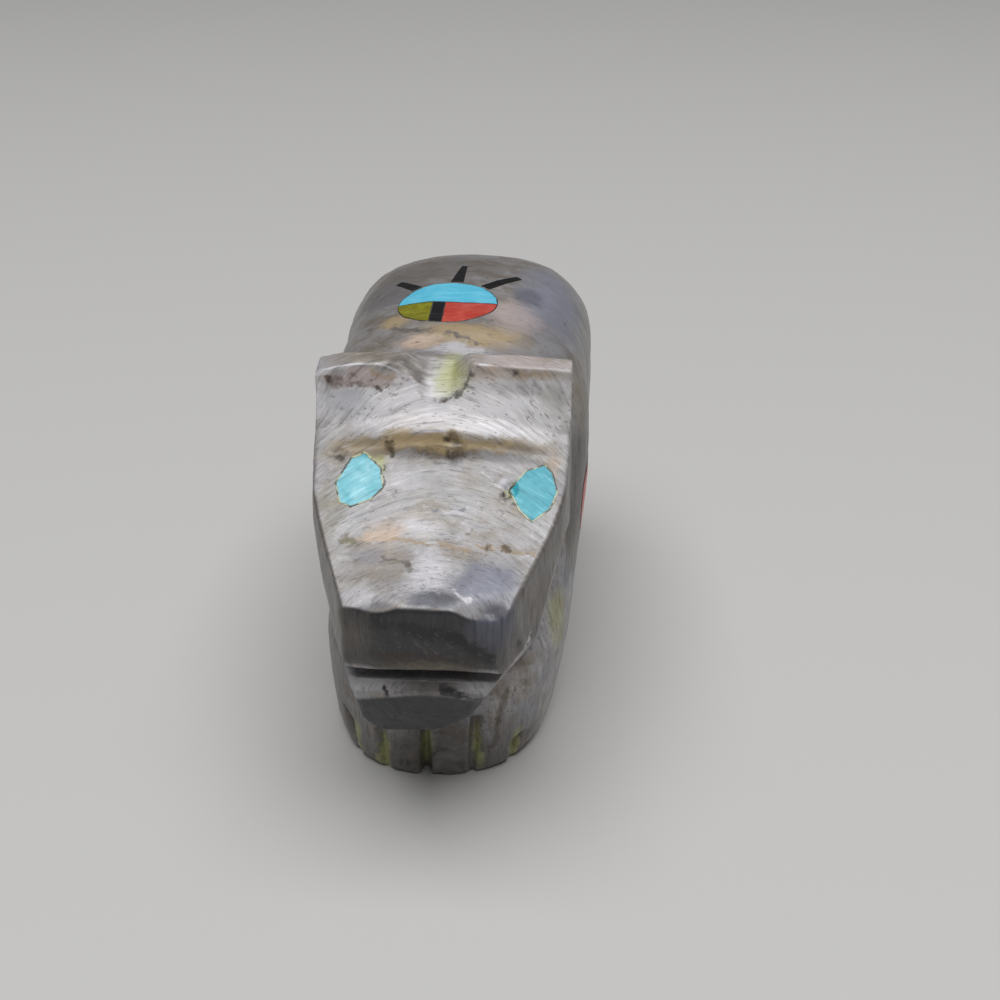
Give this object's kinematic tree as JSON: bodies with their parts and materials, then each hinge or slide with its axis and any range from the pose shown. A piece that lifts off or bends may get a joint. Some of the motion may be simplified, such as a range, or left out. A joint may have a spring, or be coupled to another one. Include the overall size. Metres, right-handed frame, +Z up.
{
  "type": "carved stone bear fetish",
  "caption": "Small carved stone bear with inlaid stone eyes and an inlaid sun with rays on its back, standing on its own feet.",
  "frame": {"origin": "centre of the footprint, on the ground under the feet", "axes": "+X to the bear's left, -Y the way it faces, +Z up"},
  "size_m": [0.023, 0.0548, 0.0355],
  "materials": {
    "body_stone": "polished, grey-white with tan and dark veins and fine grinding lines",
    "eye_turquoise": "polished",
    "sun_sky_stone": "polished",
    "serpentine": "polished",
    "coral": "polished",
    "jet": "polished"
  },
  "bodies": {
    "root": {"bear_body": "body_stone", "eye_left": "eye_turquoise", "eye_right": "eye_turquoise", "sun_turquoise": "sun_sky_stone", "sun_band": "jet", "sun_yellow": "serpentine", "sun_coral": "coral", "sun_ray_left": "jet", "sun_ray_middle": "jet", "sun_ray_right": "jet", "flank_coral": "coral"}
  },
  "joints": []
}
